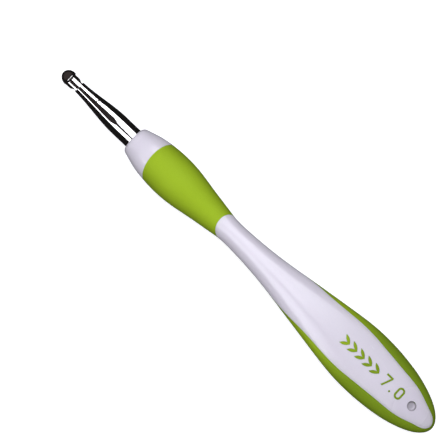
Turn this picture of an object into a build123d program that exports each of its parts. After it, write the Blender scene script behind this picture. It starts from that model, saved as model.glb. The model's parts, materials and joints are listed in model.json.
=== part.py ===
"""Ergonomic crochet hook, size 7.0 mm.

A polished metal hook is moulded into a hard core, and the core is overmoulded with a soft grip. The core
shows at the nose and as the long panel on top. The soft grip wraps the rest, and the same soft material
fills the marks sunk into the panel.

Everything is drawn in the tool frame, in millimetres: X = 0 at the tail's end and +X towards the hook's tip,
Z = 0 on the shaft's axis and +Z on the side of the hook's mouth. The handle arches down towards its tail, so
at the end every piece is tilted and lifted onto the bench that the tool rests on.
"""

from build123d import *
from math import atan2, cos, degrees, radians, sin
import os

# Overall sizes
overall_length = 166.0
handle_length = 134.5
shaft_diameter = 7.0

# Handle envelope
tail_round_length = 30.7  # the tail is a half ellipse in plan, this long
tail_half_width = 10.85
tail_half_height = 5.5
tail_side_power = 2.5  # a power of 2 would make the tail's side view an ellipse; more is blunter
tail_angles = (12, 24, 36, 50, 65, 80, 90)
body_stations = (  # x, half width, half height
    (40.7, 10.15, 5.5),
    (50.7, 8.68, 5.3),
    (60.7, 7.13, 5.1),
    (70.7, 5.58, 4.9),
    (80.7, 4.53, 4.75),
    (90.7, 4.13, 4.8),
    (97.2, 4.93, 5.15),
    (103.7, 5.96, 5.85),
    (110.7, 7.17, 6.65),
    (118.2, 7.67, 7.1),
    (124.7, 7.22, 6.95),
    (129.7, 6.2, 6.2),
    (handle_length, 4.85, 4.85),
)
arch_start = 115.7  # behind this the handle's middle line droops as a parabola
arch_drop = 10.3
nose_round = 1.9

# Soft grip
grip_thickness = 1.5
inner_core_front = 128.7  # inside the nose, where the whole section is core
nose_edge_top = (126.0, 7.5)  # the grip's slanting front edge, x and z
nose_edge_bottom = (119.2, -9.0)
panel_edge = (  # the panel's lower edge in the side view, x and z, from the tail to the waist
    (-0.8, -8.8),
    (2.4, -7.55),
    (5.1, -6.4),
    (11.5, -4.75),
    (18.7, -3.2),
    (28.7, -1.8),
    (42.7, -0.75),
    (54.7, -0.3),
    (62.7, -1.05),
    (70.7, -1.9),
    (80.7, -1.9),
    (91.9, -1.5),
)
panel_front_top = (97.8, 7.5)
panel_corner_round = 3.0
web_length = 30.0
web_width = 3.0
web_centre_x = 19.3
web_bottom = -8.0

# Marks and gate recess, along the panel
mark_recess = 0.1
mark_depth = 0.8
mark_prism_bottom = -6.0  # a height inside the handle at every mark
stitch_count = 5
stitch_pitch = 3.3
stitch_row_centre = 33.3
stitch_length = 3.1
stitch_half_height = 1.8
stitch_leaf_width = 1.15
stitch_overlap = 0.15  # how far each leaf crosses the row's middle line
size_seven_x = 21.8
size_point_x = 18.9
size_zero_x = 15.9
digit_height = 4.3
digit_width = 2.7
digit_stroke = 0.7
gate_x = 10.2
gate_diameter = 3.2
gate_floor_height = 3.0  # above the handle's middle line

# Hook, with distances measured back from the tip
head_round_length = 2.9
head_half_width = 2.47
head_half_height = 2.85
head_top_distance = 4.6  # the head rises as far as this, so that its top still slopes at the lip
head_angles = (15, 30, 45, 60, 75, 90)
throat_distance = 7.2
throat_neck_half_width = 2.0
throat_neck_height = 2.05
neck_start = 6.8  # the neck begins to swell just ahead of the throat
neck_end = 24.8
head_back_distances = (3.9, 5.5, throat_distance)
neck_steps = 6
lip_distance = 3.7
lip_undercut = 0.6
throat_end = 6.7
mouth_end = 7.5
mouth_end_height = 2.1
throat_crown = 0.3  # the throat's top, above the axis
throat_crown_rise = 2.0
throat_half_width = 2.3
mouth_round = 0.25

# Tang, the turned-down end of the rod inside the handle
shaft_start = handle_length  # the shoulder, flush with the face of the nose
tang_length = 33.0
tang_diameter = 6.0
tang_across_flats = 4.8
groove_count = 3
groove_pitch = 5.0
groove_width = 1.6
groove_depth = 0.6

# Where the arched handle touches the bench, x and z
tail_contact = (11.9, -13.08)
bulb_contact = (123.4, -7.04)

cut_reach = 20.0  # how far cutting solids stand out of the tool


def arch(x):
    """Height of the handle's middle line."""
    return -arch_drop * (max(0.0, arch_start - x) / arch_start) ** 2


def section(x, half_width, height, depth, z=0.0):
    """An oval across the tool, made of two half ellipses that share their width."""
    with BuildSketch(Plane(origin=(x, 0, z), x_dir=(0, 1, 0), z_dir=(1, 0, 0))) as oval:
        with BuildLine():
            EllipticalCenterArc((0, 0), half_width, height, start_angle=0, arc_size=180)
            EllipticalCenterArc((0, 0), half_width, depth, start_angle=180, arc_size=180)
        make_face()
    return oval.sketch


def ease(start, end, distance):
    """Rises smoothly from 0 at start to 1 at end."""
    share = min(1.0, max(0.0, (distance - start) / (end - start)))
    return share * share * (3 - 2 * share)


def head_top(distance):
    """Height of the head's top above the axis."""
    return head_half_height * (1 - max(0.0, 1 - distance / head_top_distance) ** 2) ** 0.5


def neck_section(distance):
    """A section of the hook's neck, which narrows from the head to the throat and swells to the shaft."""
    narrowing = ease(head_round_length, throat_distance, distance)
    lowering = ease(head_top_distance, throat_distance, distance)
    swelling = ease(neck_start, neck_end, distance)
    radius = shaft_diameter / 2
    half_width = head_half_width - narrowing * (head_half_width - throat_neck_half_width)
    height = head_top(distance) - lowering * (head_half_height - throat_neck_height)
    return section(
        overall_length - distance,
        half_width + swelling * (radius - throat_neck_half_width),
        height + swelling * (radius - throat_neck_height),
        head_half_height + swelling * (radius - head_half_height),
    )


def tail_section(angle, inset):
    """A section of the rounded tail, at an angle round its plan outline."""
    x = inset + (tail_round_length - inset) * (1 - cos(radians(angle)))
    half_width = (tail_half_width - inset) * sin(radians(angle))
    fullness = (1 - cos(radians(angle)) ** tail_side_power) ** (1 / tail_side_power)
    half_height = (tail_half_height - inset) * fullness
    return section(x, half_width, half_height, half_height, arch(x))


def handle_shape(inset, front):
    """The handle's outer shape moved inwards by inset, from the tail to x = front."""
    sections = [Vertex(inset, 0, arch(inset))]
    sections += [tail_section(angle, inset) for angle in tail_angles]
    for x, half_width, half_height in body_stations[:-1]:
        if x < front:
            sections.append(section(x, half_width - inset, half_height - inset, half_height - inset, arch(x)))
    nose_radius = body_stations[-1][1] - inset
    sections.append(section(front, nose_radius, nose_radius, nose_radius))
    with BuildPart() as shape:
        loft(sections)
    return shape


def mark_plane(x):
    """A plane above the panel whose text direction runs from the hook to the tail."""
    return Plane(origin=(x, 0, cut_reach), x_dir=(-1, 0, 0), z_dir=(0, 0, 1))


def stitch_outline(x):
    """One chain stitch: two leaves that meet in a V, which points at the tail."""
    base = (stitch_length / 2, -stitch_overlap)
    tip = (-stitch_length / 2, stitch_half_height)
    with BuildSketch(mark_plane(x)) as outline:
        with BuildLine():
            SagittaArc(base, tip, stitch_leaf_width / 2)
            SagittaArc(tip, base, stitch_leaf_width / 2)
        make_face()
        mirror(about=Plane.XZ)
    return outline


# Envelope: the handle's outside, with its rounded nose
with BuildPart() as envelope:
    add(handle_shape(0, handle_length))
    fillet(envelope.faces().sort_by(Axis.X)[-1].edges(), nose_round)

# The same shape, moved inwards by three depths
inner_core = handle_shape(grip_thickness, inner_core_front)
mark_top = handle_shape(mark_recess, handle_length)
mark_floor = handle_shape(mark_depth, handle_length)

# Core region: where the core fills the envelope. It is ahead of the nose edge, above the panel's edge, and in
# a web that ties the panel to the inner core along the tail
with BuildPart() as core_region:
    with BuildSketch(Plane.XZ):
        with BuildLine():
            Polyline(
                nose_edge_top,
                (nose_edge_top[0], cut_reach),
                (handle_length + cut_reach, cut_reach),
                (handle_length + cut_reach, nose_edge_bottom[1]),
                nose_edge_bottom,
                close=True,
            )
        make_face()
    extrude(amount=cut_reach, both=True)
    with BuildSketch(Plane.XZ) as panel_side_view:
        with BuildLine():
            Spline(*panel_edge)
            Polyline(
                panel_edge[-1],
                panel_front_top,
                (panel_front_top[0], cut_reach),
                (panel_edge[0][0], cut_reach),
                panel_edge[0],
            )
        make_face()
        corner = panel_side_view.vertices().sort_by_distance((*panel_edge[-1], 0))[0]
        fillet(corner, panel_corner_round)
    extrude(amount=cut_reach, both=True)
    with BuildSketch(Plane.XY.offset(web_bottom)):
        with Locations((web_centre_x, 0)):
            SlotOverall(web_length, web_width)
    extrude(amount=cut_reach)

# Mouth: the room cut behind the hook's lip, down to a throat that is rounded across
with BuildPart() as mouth:
    throat_base = throat_crown - throat_crown_rise
    with BuildSketch(Plane.XZ):
        with BuildLine():
            Polyline(
                (overall_length - lip_distance, cut_reach),
                (overall_length - lip_distance, shaft_diameter / 2),
                (overall_length - lip_distance + lip_undercut, throat_base),
                (overall_length - throat_end, throat_base),
                (overall_length - mouth_end, mouth_end_height),
                (overall_length - mouth_end, cut_reach),
                close=True,
            )
        make_face()
    extrude(amount=cut_reach, both=True)
    with BuildSketch(Plane.YZ.offset(overall_length)):
        with BuildLine():
            EllipticalCenterArc(
                (0, throat_base), throat_half_width, throat_crown_rise, start_angle=0, arc_size=180
            )
            Line((-throat_half_width, throat_base), (throat_half_width, throat_base))
        make_face()
    extrude(amount=-cut_reach, mode=Mode.SUBTRACT)

# Hook: forged and turned from one rod
with BuildPart() as hook:
    head = [Vertex(overall_length, 0, 0)]
    for angle in head_angles:
        distance = head_round_length * (1 - cos(radians(angle)))
        x = overall_length - distance
        roundness = sin(radians(angle))
        head.append(
            section(x, head_half_width * roundness, head_top(distance), head_half_height * roundness)
        )
    loft(head + [neck_section(distance) for distance in head_back_distances])
    neck_length = neck_end - throat_distance
    loft([neck_section(throat_distance + neck_length * step / neck_steps) for step in range(neck_steps + 1)])

    # Shaft: its shoulder meets the face of the nose
    with BuildSketch(Plane.YZ.offset(shaft_start)):
        Circle(shaft_diameter / 2)
    extrude(amount=overall_length - neck_end - shaft_start)

    # Tang, with two flats and ring grooves that key it into the core
    with BuildSketch(Plane.YZ.offset(shaft_start)):
        Circle(tang_diameter / 2)
        Rectangle(tang_diameter, tang_across_flats, mode=Mode.INTERSECT)
    extrude(amount=-tang_length)
    for index in range(groove_count):
        groove_start = shaft_start - tang_length + groove_pitch * (index + 1)
        with BuildSketch(Plane.YZ.offset(groove_start)):
            Circle(tang_diameter / 2)
            Circle(tang_diameter / 2 - groove_depth, mode=Mode.SUBTRACT)
        extrude(amount=groove_width, mode=Mode.SUBTRACT)

    # Yarn slides over the mouth, so its three long edges are rounded: the lip, the throat's root and its end
    add(mouth.part, mode=Mode.SUBTRACT)
    mouth_edges = hook.edges().filter_by_position(
        Axis.X, overall_length - mouth_end - mouth_round, overall_length - lip_distance + lip_undercut
    )
    fillet(mouth_edges.sort_by(SortBy.LENGTH)[-3:], mouth_round)

# Size mark: the digits 7 and 0 with a point between them
with BuildSketch(mark_plane(size_seven_x)) as seven_outline:
    with BuildLine():
        Polyline(
            (-digit_width / 2, digit_height / 2),
            (digit_width / 2, digit_height / 2),
            (digit_width / 2, digit_height / 2 - digit_stroke),
            (-digit_width / 6 + digit_stroke / 2, -digit_height / 2),
            (-digit_width / 6 - digit_stroke / 2, -digit_height / 2),
            (digit_width / 2 - digit_stroke, digit_height / 2 - digit_stroke),
            (-digit_width / 2, digit_height / 2 - digit_stroke),
            close=True,
        )
    make_face()
with BuildSketch(mark_plane(size_point_x)) as point_outline:
    with Locations((0, digit_stroke / 2 - digit_height / 2)):
        Circle(digit_stroke / 2)
with BuildSketch(mark_plane(size_zero_x)) as zero_outline:
    SlotOverall(digit_height, digit_width, rotation=90)
    hole_height = digit_height - 2 * digit_stroke
    hole_width = digit_width - 2 * digit_stroke
    SlotOverall(hole_height, hole_width, rotation=90, mode=Mode.SUBTRACT)

# Marks: every outline becomes a prism that reaches down inside the handle
mark_outlines = {
    "size_seven": seven_outline,
    "size_point": point_outline,
    "size_zero": zero_outline,
}
for index in range(stitch_count):
    x = stitch_row_centre + stitch_pitch * ((stitch_count - 1) / 2 - index)
    mark_outlines[f"stitch_{index + 1}"] = stitch_outline(x)
mark_prisms = {}
for name, outline in mark_outlines.items():
    with BuildPart() as prism:
        extrude(outline.sketch, amount=mark_prism_bottom - cut_reach)
    mark_prisms[name] = prism

with BuildPart() as mark_pockets:
    for prism in mark_prisms.values():
        add(prism.part)
    add(mark_floor.part, mode=Mode.SUBTRACT)

# Handle core: hard plastic, which holds the hook and comes to the surface at the nose and the panel
with BuildPart() as core_blank:
    add(envelope.part)
    add(core_region.part, mode=Mode.INTERSECT)
    add(inner_core.part)

with BuildPart() as handle_core:
    add(core_blank.part)
    add(hook.part, mode=Mode.SUBTRACT)
    add(mark_pockets.part, mode=Mode.SUBTRACT)
    # Gate recess: the round hollow near the tail where the plastic was fed in
    with BuildSketch(Plane.XY.offset(arch(gate_x) + gate_floor_height)):
        with Locations((gate_x, 0)):
            Circle(gate_diameter / 2)
    extrude(amount=cut_reach, mode=Mode.SUBTRACT)

# Soft grip: fills the rest of the envelope, round the core
with BuildPart() as soft_grip:
    add(envelope.part)
    add(core_region.part, mode=Mode.SUBTRACT)
    add(inner_core.part, mode=Mode.SUBTRACT)

pieces = {"hook": hook, "handle_core": handle_core, "soft_grip": soft_grip}

# Mark inlays: soft grip material that fills the pockets to just under the panel
for name, prism in mark_prisms.items():
    with BuildPart() as inlay:
        add(prism.part)
        add(mark_top.part, mode=Mode.INTERSECT)
        add(mark_floor.part, mode=Mode.SUBTRACT)
    pieces[name] = inlay

# Rest pose: the tool lies on its tail and its bulb, with its box centred on the origin
contact_rise = bulb_contact[1] - tail_contact[1]
rest_tilt = degrees(atan2(contact_rise, bulb_contact[0] - tail_contact[0]))
tilt = Rotation(0, rest_tilt, 0)
boxes = [piece.part.moved(tilt).bounding_box() for piece in pieces.values()]
middle_x = (min(box.min.X for box in boxes) + max(box.max.X for box in boxes)) / 2
lowest_z = min(box.min.Z for box in boxes)
rest_pose = Pos(-middle_x, 0, -lowest_z) * tilt

os.makedirs("parts", exist_ok=True)
for name, piece in pieces.items():
    piece.part.label = name
    export_step(piece.part.moved(rest_pose), f"parts/{name}.step")

shaft_middle = (handle_length + overall_length - neck_end) / 2
print("shaft's middle at rest", rest_pose * Pos(shaft_middle, 0, 0))
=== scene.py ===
import json
import math

import bpy
from mathutils import Matrix, Vector


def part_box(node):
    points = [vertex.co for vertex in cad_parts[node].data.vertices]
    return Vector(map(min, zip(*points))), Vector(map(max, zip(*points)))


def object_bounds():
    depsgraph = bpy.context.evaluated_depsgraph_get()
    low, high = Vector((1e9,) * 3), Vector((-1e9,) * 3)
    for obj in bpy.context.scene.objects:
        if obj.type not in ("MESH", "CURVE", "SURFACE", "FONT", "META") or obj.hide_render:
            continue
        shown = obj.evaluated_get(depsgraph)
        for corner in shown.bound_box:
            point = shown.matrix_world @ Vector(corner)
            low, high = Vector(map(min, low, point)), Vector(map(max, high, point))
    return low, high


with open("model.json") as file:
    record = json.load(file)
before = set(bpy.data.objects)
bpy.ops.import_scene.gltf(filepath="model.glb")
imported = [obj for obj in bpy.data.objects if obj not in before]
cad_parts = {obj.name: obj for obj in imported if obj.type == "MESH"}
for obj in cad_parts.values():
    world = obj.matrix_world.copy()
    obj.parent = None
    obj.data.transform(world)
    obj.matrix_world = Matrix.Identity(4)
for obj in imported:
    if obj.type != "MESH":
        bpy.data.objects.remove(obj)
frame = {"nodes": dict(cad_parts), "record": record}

MM = 0.001

# Camera: nearly overhead, with the hook's tip at the picture's upper left
PICTURE_WIDTH = 144.6 * MM  # the width of the view at the tool
LENS = 150.0
SENSOR = 36.0
CLIP = (0.01, 100.0)
TIP_ANGLE = math.radians(136.0)  # the tool's long axis in the picture, from its right-hand side
CAMERA_ROLL = math.radians(7.0)  # the camera leans over the tool's +Y side
VIEW_SHIFT = (-8.0 * MM, 9.6 * MM)  # from the tool's middle to the view's middle, right and up

# Floor and world
FLOOR_SIZE = 4.0
FLOOR_COLOUR = (0.80, 0.80, 0.82, 1.0)
FLOOR_ROUGHNESS = 0.9
FLOOR_GLOW = 0.6
BACKDROP = (0.97, 0.97, 0.98, 1.0)
AMBIENT = 0.25
AMBIENT_COLOUR = (0.97, 0.98, 1.0, 1.0)

# What the gloss mirrors where no softbox is, and what it mirrors ahead of the tip
DARK_COLOUR = (0.010, 0.009, 0.009, 1.0)
DIM_COLOUR = (0.045, 0.036, 0.036, 1.0)
DIM_AHEAD = (0.35, 0.7)  # the share of a direction that points ahead, where the dim part sets in
DIM_ABOVE = (-0.2, 0.1)  # and the share that points up

# Softboxes. A direction is a lean from overhead towards +Y and a pitch towards the hook's tip
LIGHT_DISTANCE = 0.8
LIGHT_RADIANCE = 2.95
LIGHT_COLOUR = (0.97, 0.985, 1.05)
LIGHT_PITCH = (math.radians(-12.0), math.radians(26.0))
LEFT_LEAN = (math.radians(-53.0), math.radians(13.0))
RIGHT_LEAN = (math.radians(22.0), math.radians(61.0))

# A black flag hangs under the gap between the softboxes and widens towards the hook's tip
FLAG_DISTANCE = 0.7
FLAG_LEAN = math.radians(17.5)
FLAG_HALF_WIDTH = (math.radians(4.5), math.radians(32.5))
FLAG_PITCH = (math.radians(5.0), math.radians(30.0))
FLAG_OPENS = (math.radians(7.0), math.radians(17.0))
FLAG_STEPS = 40
FLAG_COLOUR = (0.020, 0.014, 0.014, 1.0)

# Wear, and dirt with painted shade
SHADE_SAMPLES = 8
EDGE_REACH = 0.2 * MM
SEAM_BEVEL = 0.1 * MM
BEVEL_SEGMENTS = 2
BEVEL_ANGLE = math.radians(40.0)

# Polished metal
METAL = (0.87, 0.85, 0.83, 1.0)
METAL_SMEARED = (0.80, 0.78, 0.77, 1.0)
METAL_WORN = (0.92, 0.90, 0.88, 1.0)

# Gloss plastic. It was fed in at the gate recess, whose floor has painted shade; a haze round it is
# partly gate blush and partly painted shade towards the tail end
PLASTIC = (0.745, 0.705, 0.775, 1.0)
PLASTIC_CLOUDED = (0.71, 0.665, 0.73, 1.0)
PLASTIC_GRAIN = (0.68, 0.64, 0.71, 1.0)
PLASTIC_HAZE_AND_SHADE = (0.62, 0.57, 0.66, 1.0)
PLASTIC_GATE_SHADE = (0.22, 0.19, 0.23, 1.0)
PLASTIC_DIRT_AND_SHADE = (0.16, 0.14, 0.16, 1.0)
GATE_CENTRE = (-72.2 * MM, 0.0, 7.8 * MM)  # under the floor of the gate recess
GATE_HAZE_AND_SHADE = (2.0 * MM, 9.0 * MM)
GATE_FLOOR_SHADE = (0.8 * MM, 1.8 * MM)
HAIRLINE_SIZE = 0.25 * MM
HAIRLINE_STRETCH = 50.0

# Elastomer
RUBBER = (0.52, 0.745, 0.026, 1.0)
RUBBER_PATCH = (0.47, 0.68, 0.022, 1.0)
RUBBER_GRAIN = (0.39, 0.59, 0.017, 1.0)
RUBBER_TAIL_SHADE = (0.11, 0.20, 0.012, 1.0)
RUBBER_EDGE = (0.68, 0.80, 0.24, 1.0)
RUBBER_DIRT_AND_SHADE = (0.12, 0.18, 0.015, 1.0)
RUBBER_SKIN = (0.67, 0.67, 0.72, 1.0)  # the tint of its skin, which darkens it at a slant
TAIL_SHADE_REACH = (30.0 * MM, 52.0 * MM)  # painted shade darkens it this far from the tail


def node(tree, kind, inputs=None, **settings):
    """A new shader node. Each input is given its value, or the output that feeds it."""
    made = tree.nodes.new(kind)
    for name, value in settings.items():
        setattr(made, name, value)
    for name, value in (inputs or {}).items():
        if isinstance(value, bpy.types.NodeSocket):
            tree.links.new(value, made.inputs[name])
        else:
            made.inputs[name].default_value = value
    return made


def empty_tree(owner):
    """The node tree of a new material or world, with nothing in it."""
    owner.use_nodes = True
    owner.node_tree.nodes.clear()
    return owner.node_tree


def start_finish(name):
    """A new material, its empty node tree, and the object's coordinates in metres."""
    material = bpy.data.materials.new(name)
    tree = empty_tree(material)
    return material, tree, node(tree, "ShaderNodeTexCoord").outputs["Object"]


def end_finish(tree, inputs):
    """The finish's shader, with the given inputs."""
    shader = node(tree, "ShaderNodeBsdfPrincipled", inputs)
    node(tree, "ShaderNodeOutputMaterial", {"Surface": shader.outputs["BSDF"]})


def noise(tree, place, size, stretch=1.0, turn=0.0, detail=3.0):
    """Noise from 0 to 1 with features of the given size, drawn out along the tool by stretch."""
    mapped = node(tree, "ShaderNodeMapping", {
        "Vector": place,
        "Rotation": (0.0, 0.0, turn),
        "Scale": (1 / (size * stretch), 1 / size, 1 / size),
    })
    return node(tree, "ShaderNodeTexNoise", {
        "Vector": mapped.outputs[0], "Scale": 1.0, "Detail": detail,
    }).outputs["Fac"]


def remap(tree, value, low, high, start, end):
    """The value's range from low to high becomes start to end, with soft ends."""
    return node(tree, "ShaderNodeMapRange", {
        "Value": value, "From Min": low, "From Max": high, "To Min": start, "To Max": end,
    }, interpolation_type="SMOOTHSTEP").outputs["Result"]


def combine(tree, operation, first, second):
    """Two values, or a value and a number, put together by a Math node."""
    return node(tree, "ShaderNodeMath", {0: first, 1: second}, operation=operation).outputs[0]


def blend(tree, share, first, second):
    """The first colour, with the given share of the second."""
    # A Mix node's factor is input 0, its colours are inputs 6 and 7, and output 2 is their mix
    mix = node(tree, "ShaderNodeMix", {0: share, 6: first, 7: second}, data_type="RGBA")
    return mix.outputs[2]


def distance(tree, place, point):
    """How far the surface is from a point."""
    gap = node(tree, "ShaderNodeVectorMath", {0: place, 1: point}, operation="DISTANCE")
    return gap.outputs["Value"]


def bump(tree, height, depth, strength, normal=None):
    """A normal that follows the height, on top of another normal if one is given."""
    inputs = {"Height": height, "Distance": depth, "Strength": strength}
    if normal:
        inputs["Normal"] = normal
    return node(tree, "ShaderNodeBump", inputs).outputs["Normal"]


def shaded_crevices(tree, reach):
    """1 in the seams and pockets, where painted shade and dirt go, 0 on open surface."""
    shade = node(
        tree, "ShaderNodeAmbientOcclusion", {"Distance": reach}, samples=SHADE_SAMPLES,
    )
    return remap(tree, shade.outputs["AO"], 0.45, 0.95, 1.0, 0.0)


def edges(tree, reach):
    """1 along sharp outer edges, 0 elsewhere."""
    shade = node(
        tree, "ShaderNodeAmbientOcclusion", {"Distance": reach}, samples=SHADE_SAMPLES,
        inside=True,
    )
    return remap(tree, shade.outputs["AO"], 0.55, 0.9, 1.0, 0.0)


def scratches(tree, place, size, stretch, turn, low, high):
    """1 on thin lines along the tool, 0 between them. Higher limits make them fewer."""
    streaks = noise(tree, place, size, stretch=stretch, turn=turn)
    return remap(tree, streaks, low, high, 0.0, 1.0)


def polished_metal():
    """Forged rod, polished along its length, with faint smears from handling."""
    material, tree, place = start_finish("polished_metal_finish")
    smears = noise(tree, place, 6.0 * MM)
    polish = noise(tree, place, 0.12 * MM, stretch=40.0)
    scratched = scratches(tree, place, 0.2 * MM, 60.0, 0.06, 0.66, 0.74)
    colour = blend(tree, smears, METAL, METAL_SMEARED)
    smear_roughness = remap(tree, smears, 0.4, 0.7, 0.03, 0.06)
    polish_roughness = remap(tree, polish, 0.3, 0.7, 0.0, 0.03)
    roughness = combine(tree, "ADD", smear_roughness, polish_roughness)
    scratch_roughness = combine(tree, "MULTIPLY", scratched, 0.10)
    relief = combine(tree, "SUBTRACT", polish, scratched)
    end_finish(tree, {
        "Base Color": blend(tree, edges(tree, EDGE_REACH), colour, METAL_WORN),
        "Metallic": 1.0,
        "Roughness": combine(tree, "ADD", roughness, scratch_roughness),
        "Normal": bump(tree, relief, 0.002 * MM, 0.4),
    })
    return material


def hard_plastic():
    """Gloss moulding: slight orange peel, hairline scratches, a haze round the gate that is partly
    painted shade, and painted shade in the gate recess and the seams.
    """
    material, tree, place = start_finish("hard_plastic_finish")
    gate = distance(tree, place, GATE_CENTRE)
    haze_and_shade = remap(tree, gate, *GATE_HAZE_AND_SHADE, 1.0, 0.0)
    clouds = noise(tree, place, 14.0 * MM, stretch=2.5)
    grain = noise(tree, place, 0.5 * MM)
    peel = noise(tree, place, 1.3 * MM, detail=1.0)
    hairlines = combine(
        tree, "MAXIMUM",
        scratches(tree, place, HAIRLINE_SIZE, HAIRLINE_STRETCH, 0.35, 0.68, 0.74),
        scratches(tree, place, HAIRLINE_SIZE, HAIRLINE_STRETCH, -0.2, 0.70, 0.76),
    )

    grain_share = remap(tree, grain, 0.3, 0.7, 0.0, 0.25)
    # the haze round the gate is partly gate blush and partly painted shade that darkens the panel
    # towards the tail end
    haze_and_shade_share = combine(tree, "MULTIPLY", haze_and_shade, 0.35)
    # painted shade: darkens the floor of the gate recess
    gate_shade_share = remap(tree, gate, *GATE_FLOOR_SHADE, 0.6, 0.0)
    # painted shade, partly dirt, in the seams and pockets
    dirt_and_shade_share = combine(tree, "MULTIPLY", shaded_crevices(tree, 1.0 * MM), 0.8)
    colour = blend(tree, clouds, PLASTIC, PLASTIC_CLOUDED)
    colour = blend(tree, grain_share, colour, PLASTIC_GRAIN)
    colour = blend(tree, haze_and_shade_share, colour, PLASTIC_HAZE_AND_SHADE)
    colour = blend(tree, gate_shade_share, colour, PLASTIC_GATE_SHADE)
    colour = blend(tree, dirt_and_shade_share, colour, PLASTIC_DIRT_AND_SHADE)

    roughness = remap(tree, clouds, 0.3, 0.7, 0.20, 0.27)
    for wear, strength in ((haze_and_shade, 0.1), (hairlines, 0.12), (edges(tree, EDGE_REACH), 0.12)):
        roughness = combine(tree, "ADD", roughness, combine(tree, "MULTIPLY", wear, strength))

    surface = bump(tree, peel, 0.02 * MM, 0.25)
    end_finish(tree, {
        "Base Color": colour,
        "Roughness": roughness,
        "IOR": 1.57,
        "Coat Weight": 0.35,
        "Coat Roughness": 0.12,
        "Subsurface Weight": 0.4,
        "Subsurface Radius": (1.0, 0.95, 1.0),
        "Subsurface Scale": 1.0 * MM,
        "Normal": bump(tree, hairlines, 0.004 * MM, 0.3, surface),
    })
    return material


def soft_plastic():
    """Matt elastomer with a spark-eroded grain, painted shade near the tail and in the seams, and
    paler at its edges.
    """
    material, tree, place = start_finish("soft_plastic_finish")
    patches = noise(tree, place, 12.0 * MM)
    grain = noise(tree, place, 0.35 * MM, detail=4.0)
    pores = noise(tree, place, 0.9 * MM, detail=2.0)
    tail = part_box("soft_grip")[0]
    tail_distance = distance(tree, place, (tail.x, 0.0, tail.z))

    grain_share = remap(tree, grain, 0.35, 0.75, 0.0, 0.3)
    # painted shade: darkens the grip towards the tail end
    tail_shade_share = remap(tree, tail_distance, *TAIL_SHADE_REACH, 0.5, 0.0)
    edge_share = combine(tree, "MULTIPLY", edges(tree, 0.25 * MM), 0.4)
    # painted shade, partly dirt, in the seams and pockets
    dirt_and_shade_share = combine(tree, "MULTIPLY", shaded_crevices(tree, 0.5 * MM), 0.7)
    colour = blend(tree, patches, RUBBER, RUBBER_PATCH)
    colour = blend(tree, grain_share, colour, RUBBER_GRAIN)
    colour = blend(tree, tail_shade_share, colour, RUBBER_TAIL_SHADE)
    colour = blend(tree, edge_share, colour, RUBBER_EDGE)
    colour = blend(tree, dirt_and_shade_share, colour, RUBBER_DIRT_AND_SHADE)

    patch_roughness = remap(tree, patches, 0.3, 0.7, 0.48, 0.6)
    grain_roughness = remap(tree, grain, 0.3, 0.7, -0.05, 0.05)
    surface = bump(tree, pores, 0.02 * MM, 0.35)
    end_finish(tree, {
        "Base Color": colour,
        "Roughness": combine(tree, "ADD", patch_roughness, grain_roughness),
        "IOR": 1.48,
        "Specular IOR Level": 0.08,
        "Coat Weight": 1.0,
        "Coat Roughness": 0.5,
        "Coat IOR": 1.1,
        "Coat Tint": RUBBER_SKIN,
        "Subsurface Weight": 0.05,
        "Subsurface Radius": (0.8, 1.0, 0.2),
        "Subsurface Scale": 0.6 * MM,
        "Normal": bump(tree, grain, 0.03 * MM, 0.5, surface),
    })
    return material


def dress(row, finishes):
    """A CAD node's finish, and a fine bevel along its sharp edges, which opens the seams a hair."""
    piece = frame["nodes"][row["node"]]
    piece.material_slots[0].material = finishes[row["material_slot"]]
    rounded = piece.modifiers.new("seam_bevel", "BEVEL")
    rounded.width = SEAM_BEVEL
    rounded.segments = BEVEL_SEGMENTS
    rounded.limit_method = "ANGLE"
    rounded.angle_limit = BEVEL_ANGLE


def make_floor():
    """A white floor. The gloss doesn't mirror it, and it can't be seen from below."""
    bpy.ops.mesh.primitive_plane_add(size=FLOOR_SIZE)
    floor = bpy.context.object
    floor.name = "floor"
    material = bpy.data.materials.new("floor_finish")
    tree = empty_tree(material)
    top = node(tree, "ShaderNodeBsdfPrincipled", {
        "Base Color": FLOOR_COLOUR,
        "Roughness": FLOOR_ROUGHNESS,
        "Emission Color": (1.0, 1.0, 1.0, 1.0),
        "Emission Strength": FLOOR_GLOW,
    })
    side = node(tree, "ShaderNodeNewGeometry")
    clear = node(tree, "ShaderNodeBsdfTransparent")
    shown = node(tree, "ShaderNodeMixShader", {
        0: side.outputs["Backfacing"], 1: top.outputs[0], 2: clear.outputs[0],
    })
    node(tree, "ShaderNodeOutputMaterial", {"Surface": shown.outputs[0]})
    floor.data.materials.append(material)
    floor.visible_glossy = False
    floor.visible_diffuse = False


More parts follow.
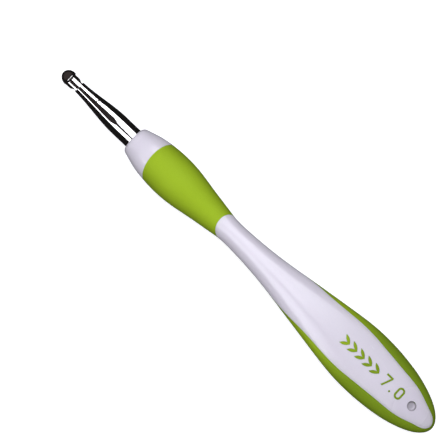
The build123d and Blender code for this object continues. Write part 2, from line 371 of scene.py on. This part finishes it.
def make_world():
    """The camera sees a pale backdrop, matt surfaces soft ambient light, and gloss the dark."""
    world = bpy.data.worlds.new("studio")
    bpy.context.scene.world = world
    tree = empty_tree(world)
    outward = node(tree, "ShaderNodeTexCoord").outputs["Generated"]
    direction = node(tree, "ShaderNodeSeparateXYZ", {0: outward})
    ahead = remap(tree, direction.outputs["X"], *DIM_AHEAD, 0.0, 1.0)
    above = remap(tree, direction.outputs["Z"], *DIM_ABOVE, 0.0, 1.0)
    dim_share = combine(tree, "MULTIPLY", ahead, above)
    gloss_colour = blend(tree, dim_share, DARK_COLOUR, DIM_COLOUR)
    seen = node(tree, "ShaderNodeBackground", {"Color": BACKDROP})
    ambient = node(tree, "ShaderNodeBackground", {"Color": AMBIENT_COLOUR, "Strength": AMBIENT})
    mirrored = node(tree, "ShaderNodeBackground", {"Color": gloss_colour})
    paths = node(tree, "ShaderNodeLightPath")
    lit = node(tree, "ShaderNodeMixShader", {
        0: paths.outputs["Is Glossy Ray"], 1: ambient.outputs[0], 2: mirrored.outputs[0],
    })
    looked_at = node(tree, "ShaderNodeMixShader", {
        0: paths.outputs["Is Camera Ray"], 1: lit.outputs[0], 2: seen.outputs[0],
    })
    node(tree, "ShaderNodeOutputWorld", {"Surface": looked_at.outputs[0]})


def add_object(name, data):
    """A new object in the scene."""
    added = bpy.data.objects.new(name, data)
    bpy.context.scene.collection.objects.link(added)
    return added


def place_object(holder, x_axis, y_axis, z_axis, place):
    """Sets an object's place, and its axes as unit vectors."""
    columns = Matrix((x_axis, y_axis, z_axis)).transposed()
    holder.matrix_world = Matrix.Translation(place) @ columns.to_4x4()


def aim(lean, pitch):
    """The unit vector from the tool towards a lean and a pitch."""
    level = math.cos(pitch)
    return Vector((math.sin(pitch), math.sin(lean) * level, math.cos(lean) * level))


def softbox(name, centre, lean_range, pitch_range):
    """An area light that faces the tool and fills a range of leans and pitches."""
    light = bpy.data.lights.new(name, "AREA")
    light.shape = "RECTANGLE"
    light.size = 2 * LIGHT_DISTANCE * math.tan((pitch_range[1] - pitch_range[0]) / 2)
    light.size_y = 2 * LIGHT_DISTANCE * math.tan((lean_range[1] - lean_range[0]) / 2)
    light.color = LIGHT_COLOUR
    light.energy = LIGHT_RADIANCE * math.pi * light.size * light.size_y
    holder = add_object(name, light)
    back = aim(sum(lean_range) / 2, sum(pitch_range) / 2)
    along = (Vector((1, 0, 0)) - back * back.x).normalized()
    across = back.cross(along)
    place_object(holder, along, across, back, centre + back * LIGHT_DISTANCE)
    holder.visible_camera = False


def between(limits, share):
    """The value at a share of the way from the first limit to the second."""
    return limits[0] + (limits[1] - limits[0]) * share


def ease(start, end, value):
    """Rises smoothly from 0 at start to 1 at end."""
    share = min(1.0, max(0.0, (value - start) / (end - start)))
    return share * share * (3 - 2 * share)


def make_flag(centre):
    """The black flag: a strip of a sphere round the tool, whose width follows its pitch."""
    corners = []
    faces = []
    for step in range(FLAG_STEPS + 1):
        pitch = between(FLAG_PITCH, step / FLAG_STEPS)
        half = between(FLAG_HALF_WIDTH, ease(*FLAG_OPENS, pitch))
        for lean in (FLAG_LEAN - half, FLAG_LEAN + half):
            corners.append(centre + aim(lean, pitch) * FLAG_DISTANCE)
        if step:
            first = 2 * step - 2
            faces.append((first, first + 1, first + 3, first + 2))
    mesh = bpy.data.meshes.new("flag")
    mesh.from_pydata(corners, [], faces)
    material = bpy.data.materials.new("flag_cloth")
    tree = empty_tree(material)
    cloth = node(tree, "ShaderNodeEmission", {"Color": FLAG_COLOUR})
    node(tree, "ShaderNodeOutputMaterial", {"Surface": cloth.outputs[0]})
    mesh.materials.append(material)
    flag = add_object("flag", mesh)
    flag.visible_camera = False
    flag.visible_diffuse = False
    flag.visible_shadow = False


def make_camera(centre):
    """The camera, turned so that the tool lies along the picture's diagonal."""
    camera = bpy.data.cameras.new("camera")
    camera.lens = LENS
    camera.sensor_width = SENSOR
    camera.clip_start, camera.clip_end = CLIP
    back = aim(CAMERA_ROLL, 0.0)
    along = Vector((1, 0, 0))
    across = back.cross(along)
    right = along * math.cos(TIP_ANGLE) - across * math.sin(TIP_ANGLE)
    up = along * math.sin(TIP_ANGLE) + across * math.cos(TIP_ANGLE)
    target = centre + right * VIEW_SHIFT[0] + up * VIEW_SHIFT[1]
    holder = add_object("camera", camera)
    place_object(holder, right, up, back, target + back * PICTURE_WIDTH * LENS / SENSOR)
    bpy.context.scene.camera = holder


cad_low, cad_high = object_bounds()
make_camera((cad_low + cad_high) / 2)
make_floor()
make_world()

finishes = {
    "polished_metal": polished_metal(),
    "hard_plastic": hard_plastic(),
    "soft_plastic": soft_plastic(),
}
for row in frame["record"]["subparts"]:
    dress(row, finishes)

shaft = Vector(frame["record"]["mounts"][0]["pos_m"])
softbox("softbox_left", shaft, LEFT_LEAN, LIGHT_PITCH)
softbox("softbox_right", shaft, RIGHT_LEAN, LIGHT_PITCH)
make_flag(shaft)
bpy.context.scene.view_settings.view_transform = "Standard"
